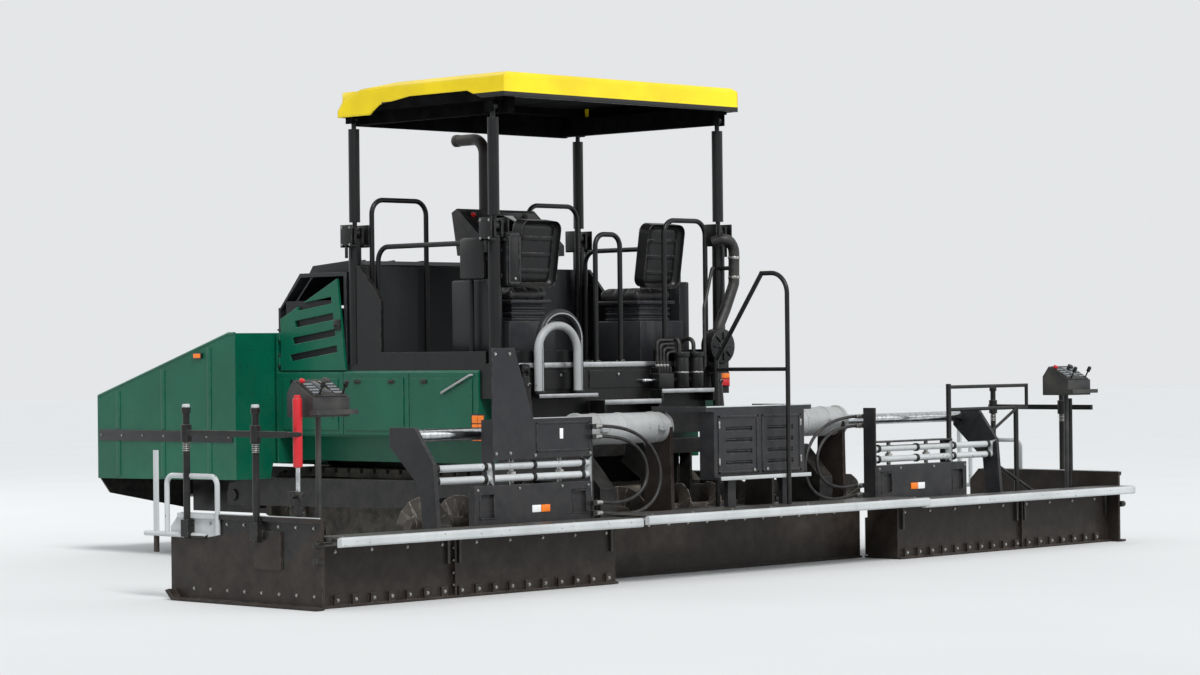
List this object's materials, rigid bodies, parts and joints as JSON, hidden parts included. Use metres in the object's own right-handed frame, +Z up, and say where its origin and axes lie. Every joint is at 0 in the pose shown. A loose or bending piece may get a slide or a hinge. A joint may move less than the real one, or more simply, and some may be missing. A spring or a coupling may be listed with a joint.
{
  "type": "asphalt paver",
  "caption": "Tracked asphalt paver with a tipping-wing hopper, slat conveyors, augers, a folding canopy and a wide extending screed.",
  "frame": {"origin": "centre of the machine's box on the ground it stands on", "axes": "+X the way it travels, towards the push rollers; +Y its left side; +Z up"},
  "size_m": [6.295, 8.5118, 3.59],
  "materials": {
    "frame_black": "satin",
    "running_gear": "dusty",
    "track_rubber": "matte",
    "worn_steel": "worn",
    "green_paint": "semi gloss",
    "charcoal_paint": "satin",
    "engine_iron": "matte",
    "seat_vinyl": "matte",
    "console_plastic": "matte",
    "roof_yellow": "semi gloss",
    "roller_steel": "worn",
    "screed_steel": "worn",
    "grey_paint": "satin",
    "bright_rod": "polished",
    "walkway_steel": "worn",
    "hose_rubber": "satin"
  },
  "bodies": {
    "base": {"chassis": "frame_black", "running_gear_left": "running_gear", "running_gear_right": "running_gear", "track_left": "track_rubber", "track_right": "track_rubber", "conveyors": "worn_steel", "side_tank_left": "green_paint", "side_tank_right": "green_paint", "bulkhead": "green_paint", "engine": "engine_iron", "platform": "frame_black", "rails": "frame_black", "seat_left": "seat_vinyl", "seat_right": "seat_vinyl", "console": "console_plastic", "lower_posts": "frame_black", "exhaust": "frame_black", "auger_frame": "frame_black", "conduits": "grey_paint"},
    "hood": {"hood": "charcoal_paint"},
    "grille_door_left": {"grille_left": "green_paint"},
    "grille_door_right": {"grille_right": "green_paint"},
    "rear_posts": {"rear_posts": "frame_black"},
    "front_posts": {"front_posts": "frame_black"},
    "roof": {"roof": "roof_yellow"},
    "auger_left": {"auger_left": "worn_steel"},
    "auger_right": {"auger_right": "worn_steel"},
    "push_bar": {"push_bar": "frame_black"},
    "push_roller_left": {"push_roller_left": "roller_steel"},
    "push_roller_right": {"push_roller_right": "roller_steel"},
    "wing_left": {"wing_left": "green_paint"},
    "wing_right": {"wing_right": "green_paint"},
    "screed": {"screed_arms": "frame_black", "screed_body": "screed_steel", "telescope_housings": "grey_paint", "control_cabinet": "charcoal_paint", "access_rail": "frame_black", "walkway_middle": "walkway_steel"},
    "extension_left": {"ext_body_left": "screed_steel", "ext_guard_left": "charcoal_paint", "telescope_left": "bright_rod", "walkway_left": "walkway_steel", "end_gate_left": "screed_steel", "hose_outer_left": "hose_rubber", "hose_inner_left": "hose_rubber", "side_control_left": "console_plastic"},
    "extension_right": {"ext_body_right": "screed_steel", "ext_guard_right": "charcoal_paint", "telescope_right": "bright_rod", "walkway_right": "walkway_steel", "end_gate_right": "screed_steel", "hose_outer_right": "hose_rubber", "hose_inner_right": "hose_rubber", "side_control_right": "console_plastic", "outer_rail": "frame_black"},
    "lift_barrels": {"lift_barrels": "frame_black"},
    "lift_rods": {"lift_rods": "bright_rod"}
  },
  "joints": [
    {"name": "wing_left_fold", "type": "hinge", "parent": "base", "child": "wing_left", "pos_m": [1.8525, 0.7, 0.74], "axis": [1, 0, 0], "range_deg": [0, 45]},
    {"name": "wing_right_fold", "type": "hinge", "parent": "base", "child": "wing_right", "pos_m": [1.8525, -0.7, 0.74], "axis": [-1, 0, 0], "range_deg": [0, 45]},
    {"name": "screed_lift", "type": "hinge", "parent": "base", "child": "screed", "pos_m": [1.6025, 0, 0.48], "axis": [0, 1, 0], "range_deg": [0, 5]},
    {"name": "extension_left_slide", "type": "slide", "parent": "screed", "child": "extension_left", "axis": [0, -1, 0], "range_m": [0, 1.49]},
    {"name": "extension_right_slide", "type": "slide", "parent": "screed", "child": "extension_right", "axis": [0, 1, 0], "range_m": [0, 1.49]},
    {"name": "lift_barrel_pivot", "type": "hinge", "parent": "base", "child": "lift_barrels", "pos_m": [-1.4475, 0, 1.45], "axis": [0, 1, 0], "range_deg": [-0.63, 0]},
    {"name": "lift_rod_slide", "type": "slide", "parent": "lift_barrels", "child": "lift_rods", "axis": [0.1135, 0, 0.9935], "range_m": [0, 0.2745]},
    {"name": "canopy_fold", "type": "hinge", "parent": "base", "child": "rear_posts", "pos_m": [-1.3375, 0, 2.48], "axis": [0, -1, 0], "range_deg": [0, 50]},
    {"name": "canopy_front_posts", "type": "hinge", "parent": "base", "child": "front_posts", "pos_m": [0.1825, 0, 2.48], "axis": [0, -1, 0], "range_deg": [0, 50]},
    {"name": "canopy_roof", "type": "hinge", "parent": "rear_posts", "child": "roof", "pos_m": [-1.3375, 0, 3.34], "axis": [0, -1, 0], "range_deg": [-50, 0]},
    {"name": "hood_lid", "type": "hinge", "parent": "base", "child": "hood", "pos_m": [1.0075, 0, 1.962], "axis": [0, 1, 0], "range_deg": [0, 50]},
    {"name": "grille_left_hinge", "type": "hinge", "parent": "base", "child": "grille_door_left", "pos_m": [1.0165, 1.239, 1.6], "axis": [0, 0, -1], "range_deg": [0, 80]},
    {"name": "grille_right_hinge", "type": "hinge", "parent": "base", "child": "grille_door_right", "pos_m": [1.0165, -1.239, 1.6], "axis": [0, 0, 1], "range_deg": [0, 80]},
    {"name": "auger_left_spin", "type": "hinge", "parent": "base", "child": "auger_left", "pos_m": [-1.7275, 1.2, 0.4], "axis": [0, 1, 0], "continuous": true},
    {"name": "auger_right_spin", "type": "hinge", "parent": "base", "child": "auger_right", "pos_m": [-1.7275, -1.2, 0.4], "axis": [0, 1, 0], "continuous": true},
    {"name": "push_bar_swivel", "type": "hinge", "parent": "base", "child": "push_bar", "pos_m": [2.8825, 0, 0.49], "axis": [0, 0, 1], "range_deg": [-4, 4]},
    {"name": "push_roller_left_spin", "type": "hinge", "parent": "push_bar", "child": "push_roller_left", "pos_m": [3.0575, 0.55, 0.49], "axis": [0, 1, 0], "continuous": true},
    {"name": "push_roller_right_spin", "type": "hinge", "parent": "push_bar", "child": "push_roller_right", "pos_m": [3.0575, -0.55, 0.49], "axis": [0, 1, 0], "continuous": true}
  ],
  "couplings": [
    {"joint": "lift_barrel_pivot", "follows": "screed_lift", "ratio": -0.11591},
    {"joint": "lift_rod_slide", "follows": "screed_lift", "m_per_rad": 3.14},
    {"joint": "canopy_front_posts", "follows": "canopy_fold", "ratio": 1},
    {"joint": "canopy_roof", "follows": "canopy_fold", "ratio": -1}
  ]
}
